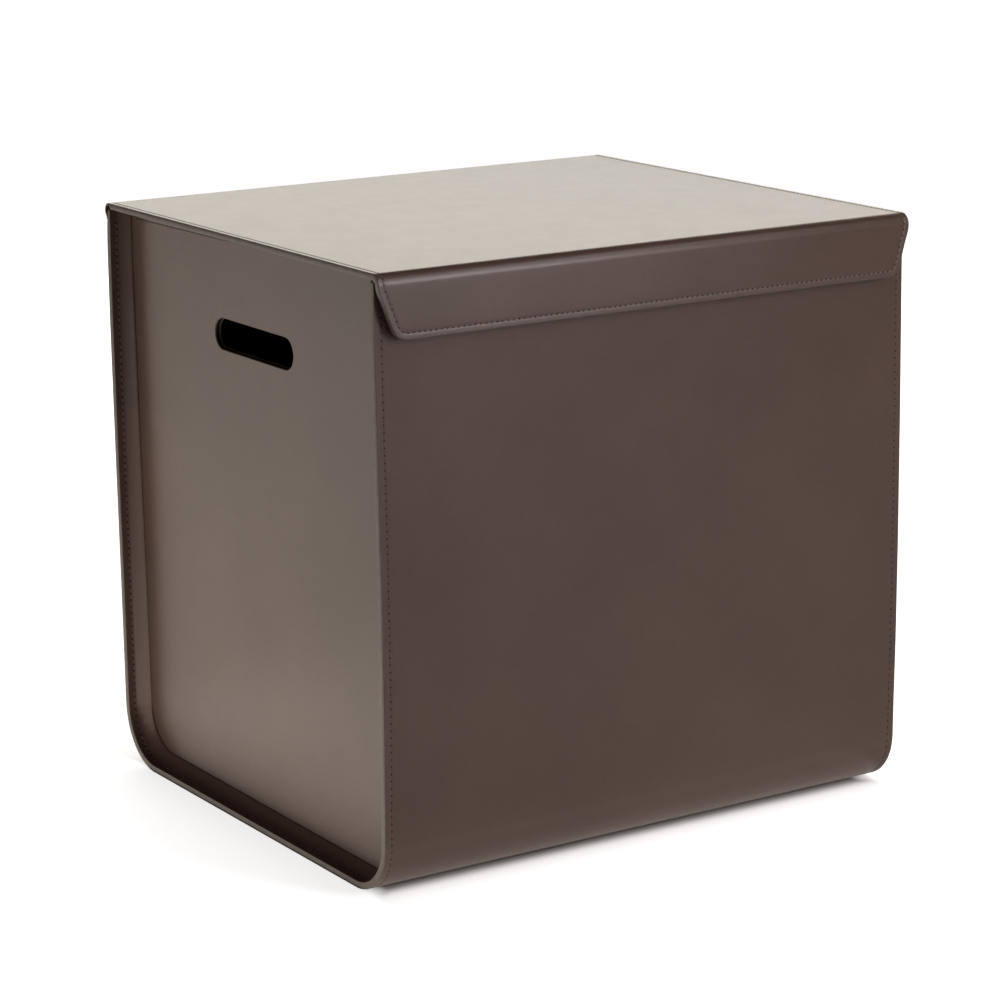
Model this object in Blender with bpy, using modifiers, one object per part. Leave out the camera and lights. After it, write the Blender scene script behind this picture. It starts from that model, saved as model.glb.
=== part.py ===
"""Leather storage box: a bent leather wrap with recessed sides, and a lid on a leather hinge."""

import math

import bmesh
import bpy

# Overall size of the closed box without the parts of the lid that stand proud
BOX_WIDTH = 0.400
BOX_DEPTH = 0.350
BOX_HEIGHT = 0.390

# Sheets that the walls are laminated from, and the glue line between them
LEATHER = 0.0013
CORE = 0.0015
LINING = 0.0009
LID_CORE = 0.0012
SIDE_LEATHER = 0.0012
GLUE_LINE = 0.0003

# Wrap
FRONT_BEND_RADIUS = 0.036
BACK_BEND_RADIUS = 0.042
BEND_STEPS = 12
FRONT_EDGE_DROP = 0.0014

# Recessed sides: how deep they lie, the soft roll at their fold, and the hand slot
SIDE_RECESS = 0.014
ROLL_HEIGHT = 0.0037
SLOT_LENGTH = 0.102
SLOT_HEIGHT = 0.0205
SLOT_BELOW_TOP = 0.0703
SLOT_STEPS = 12

# Lid and flap
LID_SEAT_GAP = 0.0003
LID_BEND_RADIUS = 0.0076
LID_BEND_STEPS = 10
FLAP_HEIGHT = 0.040
FLAP_CLEARANCE = 0.0009
FLAP_SLANT_BELOW_TOP = 0.0075
FLAP_SLANT_INSET = 0.0105
FLAP_CORNER_RADIUS = 0.008
BOARD_MARGIN = 0.0015

# Leather hinge
HINGE_BELOW_TOP = 0.011
HINGE_BULGE = 0.0022
HINGE_CURL_RADIUS = 0.0052
HINGE_STEPS = 8
LID_END_FROM_BACK = 0.005

# The two lines that the hinge folds on: where it leaves the wall, and where it meets the lid
WALL_FOLD_BELOW_TOP = 0.0085
WALL_FOLD_BEHIND_WALL = 0.0002
LID_FOLD_BEHIND_LID = 0.0015

# Loose base insert
BASE_BOARD = 0.002
BASE_CLEARANCE = 0.001

# How far a cutter runs past what it cuts, and how close points must be to count as one
OVERRUN = 0.004
MERGE_DISTANCE = 0.000001

# Section of a side's border as shares of the recess and of the roll's height, from the sewn edge to the panel
ROLL_SECTION_SHARES = (
    (0.0, 0.0),
    (0.44, 0.0),
    (0.56, 0.10),
    (0.66, 0.36),
    (0.74, 0.70),
    (0.80, 0.93),
    (0.85, 1.0),
    (0.905, 0.93),
    (0.957, 0.78),
    (0.989, 0.74),
    (1.0, 0.89),
    (1.0, 1.24),
)

# Worked out from the sizes above
LID_STACK = LEATHER + GLUE_LINE + LID_CORE + GLUE_LINE + LINING
WALL_TOP = BOX_HEIGHT - LID_STACK - LID_SEAT_GAP
CORE_INSET = LEATHER + GLUE_LINE
INNER_INSET = CORE_INSET + CORE + GLUE_LINE
WALL_STACK = INNER_INSET + LINING
FLANGE_FACE_INSET = INNER_INSET + SIDE_LEATHER
SIDE_BOARD_INSET = SIDE_RECESS + SIDE_LEATHER + GLUE_LINE
SIDE_LINING_INSET = SIDE_BOARD_INSET + CORE + GLUE_LINE
SIDE_STACK_END = SIDE_LINING_INSET + LINING
INNER_WIDTH = BOX_WIDTH - 2 * (SIDE_STACK_END + GLUE_LINE)
FLAP_PROUD = FLAP_CLEARANCE + LID_STACK
FRONT = -BOX_DEPTH / 2
BACK = BOX_DEPTH / 2
LID_END = BACK - LID_END_FROM_BACK
FRAME_SHIFT = (FLAP_PROUD - HINGE_BULGE) / 2
WALL_FOLD_Y = BACK + WALL_FOLD_BEHIND_WALL
WALL_FOLD_Z = BOX_HEIGHT - WALL_FOLD_BELOW_TOP
LID_FOLD_Y = LID_END + LID_FOLD_BEHIND_LID
LID_FOLD_Z = BOX_HEIGHT - LEATHER / 2

# A section drawn in Y and Z and drawn out along X, and an outline in X and Z drawn out along Y
ALONG_X = (math.pi / 2, 0, math.pi / 2)
ALONG_Y = (math.pi / 2, 0, 0)


def clear_scene():
    for obj in list(bpy.data.objects):
        bpy.data.objects.remove(obj, do_unlink=True)


def new_collection(name, hidden=False):
    collection = bpy.data.collections.new(name)
    collection.hide_render = hidden
    bpy.context.scene.collection.children.link(collection)
    return collection


def new_material(name, colour, roughness):
    material = bpy.data.materials.new(name)
    material.use_nodes = True
    shader = material.node_tree.nodes["Principled BSDF"]
    shader.inputs["Base Color"].default_value = (*colour, 1.0)
    shader.inputs["Roughness"].default_value = roughness
    return material


def arc(centre, radius, start, end, steps):
    """Points of an arc from one angle to another, in degrees."""
    points = []
    for i in range(steps + 1):
        angle = math.radians(start + (end - start) * i / steps)
        points.append((centre[0] + radius * math.cos(angle), centre[1] + radius * math.sin(angle)))
    return points


def wrap_line(inset, front_top=WALL_TOP, back_top=WALL_TOP):
    """The wrap's outer face moved inwards, in Y and Z: down the front, along the bottom, up the back."""
    front_centre = (FRONT + FRONT_BEND_RADIUS, FRONT_BEND_RADIUS)
    back_centre = (BACK - BACK_BEND_RADIUS, BACK_BEND_RADIUS)
    line = [(FRONT + inset, front_top)]
    line += arc(front_centre, FRONT_BEND_RADIUS - inset, 180, 270, BEND_STEPS)
    line += arc(back_centre, BACK_BEND_RADIUS - inset, 270, 360, BEND_STEPS)
    line.append((BACK - inset, back_top))
    return line


def lid_line(inset):
    """The lid's outer face moved inwards, in Y and Z: from the hinge end forwards and down the flap."""
    radius = LID_BEND_RADIUS - inset
    centre = (FRONT - FLAP_PROUD + LID_BEND_RADIUS, BOX_HEIGHT - LID_BEND_RADIUS)
    line = [(LID_END, BOX_HEIGHT - inset)]
    line += arc(centre, radius, 90, 180, LID_BEND_STEPS)
    line.append((FRONT - FLAP_PROUD + inset, BOX_HEIGHT - FLAP_HEIGHT))
    return line


def hinge_line():
    """The hinge's outer face, in Y and Z: up the back, out into a soft bulge, round and on to the lid."""
    low = BOX_HEIGHT - HINGE_BELOW_TOP
    high = BOX_HEIGHT - HINGE_CURL_RADIUS
    line = []
    for i in range(HINGE_STEPS):
        share = i / HINGE_STEPS
        ease = (1 - math.cos(math.pi * share)) / 2
        line.append((BACK + HINGE_BULGE * ease, low + (high - low) * share))
    centre = (BACK + HINGE_BULGE - HINGE_CURL_RADIUS, high)
    line += arc(centre, HINGE_CURL_RADIUS, 0, 90, HINGE_STEPS)
    line.append((LID_END + GLUE_LINE, BOX_HEIGHT))
    return line


def offset_line(line, distance):
    """A line of points moved to its left by a distance, each corner mitred."""
    moved = []
    for i, (y, z) in enumerate(line):
        before = line[max(i - 1, 0)]
        after = line[min(i + 1, len(line) - 1)]
        turns = []
        for start, end in ((before, (y, z)), ((y, z), after)):
            run = math.hypot(end[0] - start[0], end[1] - start[1])
            if run > 0:
                turns.append(((start[1] - end[1]) / run, (end[0] - start[0]) / run))
        across = (sum(t[0] for t in turns) / len(turns), sum(t[1] for t in turns) / len(turns))
        square = across[0] ** 2 + across[1] ** 2
        moved.append((y + distance * across[0] / square, z + distance * across[1] / square))
    return moved


def band(line_a, line_b):
    """A closed outline between two lines that run the same way."""
    return line_a + line_b[::-1]


def obround(centre, length, height):
    """A slot's outline with round ends, its length along the first axis."""
    radius = height / 2
    reach = length / 2 - radius
    right = arc((centre[0] + reach, centre[1]), radius, -90, 90, SLOT_STEPS)
    left = arc((centre[0] - reach, centre[1]), radius, 90, 270, SLOT_STEPS)
    return right + left


def flap_end_line(inset=0.0):
    """The right end of the flap, in X and Z: down the slant and round the corner to the lower edge."""
    top = (BOX_WIDTH / 2 - inset, BOX_HEIGHT - FLAP_SLANT_BELOW_TOP)
    low = BOX_HEIGHT - FLAP_HEIGHT + inset
    radius = FLAP_CORNER_RADIUS - inset
    slant = math.atan2(FLAP_SLANT_INSET, FLAP_HEIGHT - FLAP_SLANT_BELOW_TOP)
    # The corner's centre lies one radius above the lower edge and one radius inside the slant
    drop = top[1] - low - radius
    centre = (top[0] - drop * math.tan(slant) - radius / math.cos(slant), low + radius)
    return [top] + arc(centre, radius, -math.degrees(slant), -90, SLOT_STEPS)


def mirrored(line):
    return [(-x, z) for x, z in line]


def extruded(name, outlines, depth, location, rotation, material, collection):
    """A flat outline, with any holes, drawn out to a depth that is centred on its place."""
    curve = bpy.data.curves.new(name, "CURVE")
    curve.dimensions = "2D"
    curve.fill_mode = "BOTH"
    curve.extrude = depth / 2
    for outline in outlines:
        spline = curve.splines.new("POLY")
        spline.points.add(len(outline) - 1)
        for point, (u, v) in zip(spline.points, outline):
            point.co = (u, v, 0, 1)
        spline.use_cyclic_u = True
    obj = bpy.data.objects.new(name, curve)
    obj.location = location
    obj.rotation_euler = rotation
    if material:
        curve.materials.append(material)
    collection.objects.link(obj)
    return obj


def as_mesh(curve_object):
    """The same shape as a closed mesh, in place of the curve."""
    bpy.context.view_layer.update()
    graph = bpy.context.evaluated_depsgraph_get()
    mesh = bpy.data.meshes.new_from_object(curve_object.evaluated_get(graph))
    shape = bmesh.new()
    shape.from_mesh(mesh)
    bmesh.ops.remove_doubles(shape, verts=shape.verts, dist=MERGE_DISTANCE)
    bmesh.ops.recalc_face_normals(shape, faces=shape.faces)
    shape.to_mesh(mesh)
    shape.free()
    name = curve_object.name
    obj = bpy.data.objects.new(name + "_mesh", mesh)
    obj.matrix_world = curve_object.matrix_world
    curve_object.users_collection[0].objects.link(obj)
    bpy.data.objects.remove(curve_object, do_unlink=True)
    obj.name = name
    return obj


def new_cutter(name, outline, depth, location, rotation, collection):
    cutter = as_mesh(extruded(name, [outline], depth, location, rotation, None, collection))
    cutter.hide_render = True
    cutter.display_type = "WIRE"
    return cutter


def cut(obj, cutter):
    modifier = obj.modifiers.new("cut " + cutter.name, "BOOLEAN")
    modifier.operation = "DIFFERENCE"
    modifier.solver = "EXACT"
    modifier.object = cutter


def side_surface(name, side):
    """The outer face of a side, open: border sewn to the wrap, roll, and flat panel. Side is -1 or 1."""
    rows = []
    shape = bmesh.new()
    for x_share, height_share in ROLL_SECTION_SHARES:
        x = side * (BOX_WIDTH / 2 - SIDE_RECESS * x_share)
        line = wrap_line(FLANGE_FACE_INSET + ROLL_HEIGHT * height_share)
        rows.append([shape.verts.new((x, y, z)) for y, z in line])
    for low, high in zip(rows, rows[1:]):
        for i in range(len(low) - 1):
            shape.faces.new((low[i], low[i + 1], high[i + 1], high[i]))
    panel = shape.faces.new(rows[-1])
    bmesh.ops.recalc_face_normals(shape, faces=shape.faces)
    if panel.normal.x * side < 0:
        bmesh.ops.reverse_faces(shape, faces=shape.faces)
    mesh = bpy.data.meshes.new(name)
    shape.to_mesh(mesh)
    shape.free()
    return mesh


def add_wrap(box, materials):
    leather_top = BOX_HEIGHT - HINGE_BELOW_TOP - GLUE_LINE
    for name, inset, thickness, width, back_top, material in (
        ("wrap_leather", 0, LEATHER, BOX_WIDTH, leather_top, "leather"),
        ("wrap_core", CORE_INSET, CORE, BOX_WIDTH, WALL_TOP, "board"),
        ("wrap_lining", INNER_INSET, LINING, INNER_WIDTH, WALL_TOP, "lining"),
    ):
        front_top = WALL_TOP - FRONT_EDGE_DROP
        outer = wrap_line(inset, front_top, back_top)
        inner = wrap_line(inset + thickness, front_top, back_top)
        extruded(name, [band(outer, inner)], width, (0, 0, 0), ALONG_X, materials[material], box)


def add_side(name, side, box, materials, slot_cutter):
    mesh = side_surface(name + "_leather", side)
    leather = bpy.data.objects.new(name + "_leather", mesh)
    mesh.materials.append(materials["leather"])
    box.objects.link(leather)
    shell = leather.modifiers.new("thickness", "SOLIDIFY")
    shell.thickness = SIDE_LEATHER
    shell.offset = -1
    shell.use_even_offset = True
    cut(leather, slot_cutter)
    slot = obround((0, BOX_HEIGHT - SLOT_BELOW_TOP), SLOT_LENGTH, SLOT_HEIGHT)
    outline = wrap_line(INNER_INSET)
    layers = (("_board", SIDE_BOARD_INSET, CORE, "board"), ("_lining", SIDE_LINING_INSET, LINING, "lining"))
    for suffix, inset, thickness, material in layers:
        place = (side * (BOX_WIDTH / 2 - inset - thickness / 2), 0, 0)
        extruded(name + suffix, [outline, slot], thickness, place, ALONG_X, materials[material], box)


def rectangle(width, depth):
    x = width / 2
    y = depth / 2
    return [(-x, -y), (x, -y), (x, y), (-x, y)]


def add_base_insert(box, cutters, materials):
    """A board that lies loose on the lining, under a cover that also hides its edges."""
    front = FRONT + FRONT_BEND_RADIUS
    back = BACK - BACK_BEND_RADIUS
    middle = (front + back) / 2
    width = INNER_WIDTH - 2 * BASE_CLEARANCE
    depth = back - front
    low = WALL_STACK + GLUE_LINE
    edge = LINING + GLUE_LINE
    flat = (0, 0, 0)
    board = rectangle(width - 2 * edge, depth - 2 * edge)
    place = (0, middle, low + BASE_BOARD / 2)
    extruded("base_board", [board], BASE_BOARD, place, flat, materials["board"], box)
    height = BASE_BOARD + edge
    place = (0, middle, low + height / 2)
    sheet = extruded("base_cover", [rectangle(width, depth)], height, place, flat, materials["lining"], box)
    hollow = rectangle(width - 2 * LINING, depth - 2 * LINING)
    hollow_height = BASE_BOARD + GLUE_LINE + OVERRUN
    hollow_place = (0, middle, low + BASE_BOARD + GLUE_LINE - hollow_height / 2)
    cut(as_mesh(sheet), new_cutter("base_cutter", hollow, hollow_height, hollow_place, flat, cutters))


def fold_axis(name, y, z, box):
    """An empty on a fold line, which the pieces that turn about it hang from."""
    axis = bpy.data.objects.new(name, None)
    axis.location = (0, y, z)
    box.objects.link(axis)
    return axis


def add_hinge(box, materials):
    outer = hinge_line()
    outline = band(outer, offset_line(outer, LEATHER))
    section = [(y - WALL_FOLD_Y, z - WALL_FOLD_Z) for y, z in outline]
    hinge = extruded("hinge_leather", [section], BOX_WIDTH, (0, 0, 0), ALONG_X, materials["leather"], box)
    hinge.parent = fold_axis("wall_fold", WALL_FOLD_Y, WALL_FOLD_Z, box)


def flap_board_outline():
    """The flap's stiff core, in X and Z: it ends a margin inside the flap's edges and below the bend."""
    end = flap_end_line(BOARD_MARGIN)
    top = BOX_HEIGHT - LID_BEND_RADIUS
    below = [point for point in end if point[1] < top]
    slope = (end[0][0] - below[0][0]) / (end[0][1] - below[0][1])
    right = [(end[0][0] - (end[0][1] - top) * slope, top)] + below
    return right + mirrored(right)[::-1]


def flap_end_cutters(cutters):
    """What is cut from the flap's two ends, beyond the slants and the round corners."""
    end = flap_end_line()
    low = BOX_HEIGHT - FLAP_HEIGHT - OVERRUN
    side = BOX_WIDTH / 2 + OVERRUN
    waste = end + [(end[-1][0], low), (side, low), (side, end[0][1])]
    depth = 2 * (FLAP_PROUD + LID_BEND_RADIUS)
    place = (0, FRONT, 0)
    return [
        new_cutter("flap_end_right", waste, depth, place, ALONG_Y, cutters),
        new_cutter("flap_end_left", mirrored(waste), depth, place, ALONG_Y, cutters),
    ]


def add_lid(box, cutters, materials):
    """The lid's pieces, whose origins lie on the fold line between hinge and lid."""
    axis = fold_axis("lid_fold", LID_FOLD_Y, LID_FOLD_Z, box)
    end_cutters = flap_end_cutters(cutters)
    pieces = []
    for name, inset, thickness, material in (
        ("lid_leather", 0, LEATHER, "leather"),
        ("lid_lining", LID_STACK - LINING, LINING, "lining"),
    ):
        outline = band(lid_line(inset), lid_line(inset + thickness))
        section = [(y - LID_FOLD_Y, z - LID_FOLD_Z) for y, z in outline]
        piece = as_mesh(extruded(name, [section], BOX_WIDTH, (0, 0, 0), ALONG_X, materials[material], box))
        for cutter in end_cutters:
            cut(piece, cutter)
        pieces.append(piece)

    bend_start = FRONT - FLAP_PROUD + LID_BEND_RADIUS
    board_end = LID_END - BOARD_MARGIN
    middle = (bend_start + board_end) / 2 - LID_FOLD_Y
    outline = [(x, y + middle) for x, y in rectangle(BOX_WIDTH - 2 * BOARD_MARGIN, board_end - bend_start)]
    place = (0, 0, BOX_HEIGHT - CORE_INSET - LID_CORE / 2 - LID_FOLD_Z)
    pieces.append(extruded("lid_board", [outline], LID_CORE, place, (0, 0, 0), materials["board"], box))

    outline = [(x, z - LID_FOLD_Z) for x, z in flap_board_outline()]
    place = (0, FRONT - FLAP_PROUD + CORE_INSET + LID_CORE / 2 - LID_FOLD_Y, 0)
    pieces.append(extruded("flap_board", [outline], LID_CORE, place, ALONG_Y, materials["board"], box))
    for piece in pieces:
        piece.parent = axis


def main():
    clear_scene()
    box = new_collection("storage_box")
    cutters = new_collection("cutters", hidden=True)
    materials = {
        "leather": new_material("smooth leather", (0.095, 0.072, 0.060), 0.42),
        "board": new_material("leather board", (0.16, 0.10, 0.06), 0.85),
        "lining": new_material("suede lining", (0.05, 0.035, 0.028), 0.95),
    }
    slot = obround((0, BOX_HEIGHT - SLOT_BELOW_TOP), SLOT_LENGTH, SLOT_HEIGHT)
    slot_cutter = new_cutter("slot_cutter", slot, BOX_WIDTH + 2 * OVERRUN, (0, 0, 0), ALONG_X, cutters)
    add_wrap(box, materials)
    add_side("left_side", -1, box, materials, slot_cutter)
    add_side("right_side", 1, box, materials, slot_cutter)
    add_base_insert(box, cutters, materials)
    add_hinge(box, materials)
    add_lid(box, cutters, materials)

    # The origin is the bottom middle of the standing box with its flap and hinge
    frame = bpy.data.objects.new("box_frame", None)
    frame.location = (0, FRAME_SHIFT, 0)
    for obj in list(box.objects) + list(cutters.objects):
        if obj.parent is None:
            obj.parent = frame
    box.objects.link(frame)


main()
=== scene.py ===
"""Leather storage box: skins, seams, edge coats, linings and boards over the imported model, and its studio."""

import bisect
import math

import bmesh
import bpy
import numpy as np
from mathutils import Matrix, Vector


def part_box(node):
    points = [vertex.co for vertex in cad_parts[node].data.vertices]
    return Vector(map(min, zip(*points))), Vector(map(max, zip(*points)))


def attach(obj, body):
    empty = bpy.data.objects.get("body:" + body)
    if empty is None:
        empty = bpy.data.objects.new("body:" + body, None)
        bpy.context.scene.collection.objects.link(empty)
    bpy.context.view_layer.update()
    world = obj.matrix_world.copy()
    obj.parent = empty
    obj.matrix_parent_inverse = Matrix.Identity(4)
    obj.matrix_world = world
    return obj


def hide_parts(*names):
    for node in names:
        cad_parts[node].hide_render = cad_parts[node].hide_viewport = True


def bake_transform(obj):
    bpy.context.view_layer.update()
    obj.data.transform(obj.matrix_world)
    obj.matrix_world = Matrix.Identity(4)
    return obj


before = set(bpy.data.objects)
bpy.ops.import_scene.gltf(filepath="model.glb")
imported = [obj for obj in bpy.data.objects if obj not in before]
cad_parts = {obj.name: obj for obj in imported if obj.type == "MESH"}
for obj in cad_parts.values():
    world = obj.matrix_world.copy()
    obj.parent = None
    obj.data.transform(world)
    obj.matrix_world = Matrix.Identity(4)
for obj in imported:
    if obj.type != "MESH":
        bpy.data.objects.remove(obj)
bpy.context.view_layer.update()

# The box, in metres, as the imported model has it
WIDTH = 0.400
DEPTH = 0.350
HEIGHT = 0.390
MIDDLE_Y = 0.00135
FRONT = MIDDLE_Y - DEPTH / 2
BACK = MIDDLE_Y + DEPTH / 2

# Layers of a wall, counted inwards from the outer face
LEATHER = 0.0013
CORE = (0.0016, 0.0031)
FLANGE_FACE = 0.0046
LINING = (0.0034, 0.0043)
LID_LINING = (0.0031, 0.0040)
SIDE_LEATHER = 0.0012
LINING_SHEET = 0.0009
LINING_EDGE = 0.1815
WALL_TOP = 0.3857
FRONT_TOP = 0.3843
WRAP_LEATHER_BACK_TOP = 0.3790
FRONT_BEND = 0.036
BACK_BEND = 0.042

# Recessed sides
RECESS = 0.014
PANEL_X = WIDTH / 2 - RECESS
SIDE_LINING = (0.1818, 0.1827)
SLOT_LENGTH = 0.102
SLOT_HEIGHT = 0.0205
SLOT_Z = 0.3197
SLOT_BEAD = 0.0003
SLOT_STEPS = 16

# Lid, flap and hinge
LID_END = BACK - 0.005
LID_BEND = 0.0076
FLAP_FACE = FRONT - 0.0049
FLAP_BOTTOM = HEIGHT - 0.040
FLAP_LEAN = 4.0
LID_BOARD = (0.0016, 0.0028)
HINGE_LOW = 0.3790
HINGE_BULGE = 0.0022
HINGE_CURL = 0.0052
HINGE_RISE_STEPS = 14
HINGE_EDGE_ROUND = 0.0005

# Seams and edges
SEAM_INSET = 0.0048
LID_SEAM_INSET = 0.0039
SIDE_SEAM_FRONT_Z = 0.3833
SIDE_SEAM_FALL = 0.0034
WALL_PITCH = 0.0046
LID_PITCH = 0.0039
EDGE_COAT = 0.0009
EDGE_BULGE = 0.00012
EDGE_CORNER = 0.00035
THREAD_RADIUS = 0.00030
STITCH_SHARE = 0.64
STITCH_RISE = 0.00042
LOW_STITCH_RISE = 0.00022
STITCH_LEAN = 0.14
HOLE_RADIUS = 0.00052
HOLE_DEPTH = 0.00008
SEAM_SINK = 0.00012
TOP_SEAM_SINK = 0.00002

# How finely things are made: steps in a quarter round and across a sheet, and the turn that shows as an edge
ROUND_STEPS = 4
ACROSS_STEPS = 8
HARD_EDGE = math.radians(38)


def material_of(name, make):
    """A node material whose shader a making function finishes."""
    material = bpy.data.materials.new(name)
    material.use_nodes = True
    make(Nodes(material))
    return material


class Tree:
    """Short ways to add and join the nodes of one tree."""

    def __init__(self, tree):
        self.tree = tree

    def add(self, kind, inputs=(), **settings):
        """A node with these settings, its inputs joined to other nodes' outputs or set to values."""
        node = self.tree.nodes.new(kind)
        for name, value in settings.items():
            setattr(node, name, value)
        for socket, value in dict(inputs).items():
            if isinstance(value, bpy.types.NodeSocket):
                self.join(value, node, socket)
            else:
                node.inputs[socket].default_value = value
        return node

    def join(self, output, node, socket):
        self.tree.links.new(output, node.inputs[socket])

    def number(self, operation, *values):
        """The result of a Math node whose values are numbers or other nodes' outputs."""
        return self.add("ShaderNodeMath", enumerate(values), operation=operation).outputs[0]


class Nodes(Tree):
    """The nodes of one material, with the patterns that its finish is made of."""

    def __init__(self, material):
        super().__init__(material.node_tree)
        self.shader = self.tree.nodes["Principled BSDF"]
        self.place = self.add("ShaderNodeTexCoord").outputs["Object"]

    def set(self, **values):
        for name, value in values.items():
            self.shader.inputs[name.replace("_", " ")].default_value = value

    def noise(self, size, detail=2.0, roughness=0.5, stretch=None):
        """Cloudy noise whose features are about this size, in metres."""
        place = self.place
        if stretch:
            place = self.add("ShaderNodeMapping", {"Vector": place, "Scale": stretch}).outputs["Vector"]
        inputs = {"Vector": place, "Scale": 1 / size, "Detail": detail, "Roughness": roughness}
        return self.add("ShaderNodeTexNoise", inputs).outputs["Fac"]

    def cells(self, size):
        """How far each place lies from the edge of its cell, for cells of about this size."""
        inputs = {"Vector": self.place, "Scale": 1 / size}
        return self.add("ShaderNodeTexVoronoi", inputs, feature="DISTANCE_TO_EDGE").outputs["Distance"]

    def spread(self, value, low, high, first=0.0, last=1.0):
        """A value between two limits turned into another range, kept inside it."""
        inputs = {"Value": value, "From Min": low, "From Max": high, "To Min": first, "To Max": last}
        return self.add("ShaderNodeMapRange", inputs).outputs["Result"]

    def sum(self, first, share, second, other_share):
        """Two values added, each times its share."""
        return self.number("MULTIPLY_ADD", second, other_share, self.number("MULTIPLY", first, share))

    def ramp(self, value, stops):
        """A colour for each value, from (place, colour) stops."""
        ramp = self.add("ShaderNodeValToRGB", {"Fac": value})
        elements = ramp.color_ramp.elements
        while len(elements) < len(stops):
            elements.new(0.5)
        for element, (place, colour) in zip(elements, stops):
            element.position = place
            element.color = (*colour, 1)
        return ramp.outputs["Color"]

    def colours(self, value, stops):
        self.join(self.ramp(value, stops), self.shader, "Base Color")

    def bump(self, height, depth, under=None):
        """A relief this deep, in metres, on top of another one."""
        node = self.add("ShaderNodeBump", {"Height": height, "Distance": depth})
        if under:
            self.join(under, node, "Normal")
        self.join(node.outputs["Normal"], self.shader, "Normal")
        return node.outputs["Normal"]


# The leather's marks, in metres: how large they are, and how deep
SAG = (0.12, 0.0004)
WAVE = (0.014, 0.000008)
PORE = (0.00085, 0.000014)
GRAIN = (0.00038, 0.00001)
LEATHER_CLOUDS = (
    (0.36, (0.092, 0.0535, 0.0430)),
    (0.52, (0.102, 0.0600, 0.0485)),
    (0.68, (0.112, 0.0670, 0.0545)),
)


def leather_finish(nodes):
    """Smooth satin leather: faint clouds of colour, fine pores, and a skin that isn't quite flat."""
    clouds = nodes.noise(0.085, 3.0, 0.55)
    mottle = nodes.noise(0.0042, 2.0, 0.6)
    nodes.colours(nodes.sum(clouds, 0.72, mottle, 0.28), LEATHER_CLOUDS)
    nodes.join(nodes.spread(nodes.noise(0.012, 3.0), 0.3, 0.7, 0.31, 0.33), nodes.shader, "Roughness")
    sag = nodes.bump(nodes.noise(SAG[0], 1.0, 0.4), SAG[1])
    wave = nodes.bump(nodes.noise(WAVE[0], 2.0), WAVE[1], sag)
    pores = nodes.bump(nodes.spread(nodes.cells(PORE[0]), 0.0, 0.22), PORE[1], wave)
    nodes.bump(nodes.noise(GRAIN[0], 3.0, 0.65), GRAIN[1], pores)
    nodes.set(Specular_IOR_Level=0.5, IOR=1.5)


def coat_finish(nodes):
    """Edge paint over the cut layers: a little uneven, without pores."""
    nodes.colours(nodes.noise(0.006, 3.0), [(0.35, (0.092, 0.068, 0.057)), (0.65, (0.112, 0.085, 0.072))])
    nodes.join(nodes.spread(nodes.noise(0.004), 0.3, 0.7, 0.34, 0.44), nodes.shader, "Roughness")
    under = nodes.bump(nodes.noise(0.0032, 2.0), 0.00005)
    nodes.bump(nodes.noise(0.0007, 2.0), 0.00001, under)


def thread_finish(dark, light):
    """Waxed thread whose two strands show as fine slanting bands, in two colours."""
    def finish(nodes):
        inputs = {"Vector": nodes.place, "Scale": 900, "Distortion": 1.5}
        bands = nodes.add("ShaderNodeTexWave", inputs, bands_direction="DIAGONAL").outputs["Fac"]
        nodes.colours(bands, [(0.2, dark), (0.8, light)])
        nodes.bump(bands, 0.00006)
        nodes.set(Roughness=0.5)
    return finish


def slot_edge_shade_finish(nodes):
    """The edge paint on the cut wall of a hand slot, made far darker than the other edges: painted shade for
    the shadow inside the slot.
    """
    nodes.colours(nodes.noise(0.006, 3.0), [(0.35, (0.014, 0.010, 0.008)), (0.65, (0.024, 0.018, 0.015))])
    nodes.bump(nodes.noise(0.0032, 2.0), 0.00005)
    nodes.set(Roughness=0.5)


def hole_shade_finish(nodes):
    """Painted shade for the hole a needle leaves: a flat dark disc on the leather's face stands in for the
    shadow inside it.
    """
    nodes.colours(nodes.noise(0.0005), [(0.3, (0.004, 0.003, 0.0025)), (0.7, (0.012, 0.009, 0.008))])
    nodes.set(Roughness=0.9, Specular_IOR_Level=0.1)


def suede_finish(nodes):
    """Brushed lining cloth: short nap that turns light and dark in patches."""
    nap = nodes.noise(0.02, 4.0, 0.6)
    fibre = nodes.noise(0.00045, 3.0, 0.7)
    nodes.colours(
        nodes.sum(nap, 0.6, fibre, 0.4),
        [(0.34, (0.034, 0.024, 0.019)), (0.5, (0.052, 0.038, 0.031)), (0.66, (0.078, 0.058, 0.048))],
    )
    nodes.bump(fibre, 0.00022)
    nodes.set(Roughness=0.95, Specular_IOR_Level=0.25, Sheen_Weight=0.35, Sheen_Roughness=0.45)


def board_finish(nodes):
    """Pressed leather board: brown fibres and darker flecks."""
    fibre = nodes.noise(0.0018, 4.0, 0.65, (1.0, 1.0, 3.5))
    flecks = nodes.noise(0.0006, 2.0)
    nodes.colours(
        nodes.sum(fibre, 0.65, flecks, 0.35),
        [(0.36, (0.105, 0.066, 0.040)), (0.52, (0.165, 0.108, 0.068)), (0.68, (0.225, 0.155, 0.104))],
    )
    nodes.bump(fibre, 0.00012)
    nodes.set(Roughness=0.86)


leather = material_of("satin leather", leather_finish)
coat = material_of("painted edge", coat_finish)
slot_coat_painted_shade = material_of("slot edge painted shade", slot_edge_shade_finish)
# One thread in three colours, as painted light and shade: lighter on the lid and in the recesses, darker on the
# walls, near black under the lid's edge.
lid_thread = material_of("lid thread", thread_finish((0.12, 0.095, 0.080), (0.27, 0.225, 0.195)))
wall_thread_painted_shade = material_of("wall thread painted shade", thread_finish((0.060, 0.044, 0.036), (0.150, 0.118, 0.100)))
top_thread_painted_shade = material_of("side top thread painted shade", thread_finish((0.020, 0.015, 0.012), (0.050, 0.038, 0.032)))
hole = material_of("needle hole shade", hole_shade_finish)
suede = material_of("brushed lining", suede_finish)
board = material_of("pressed board", board_finish)


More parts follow.
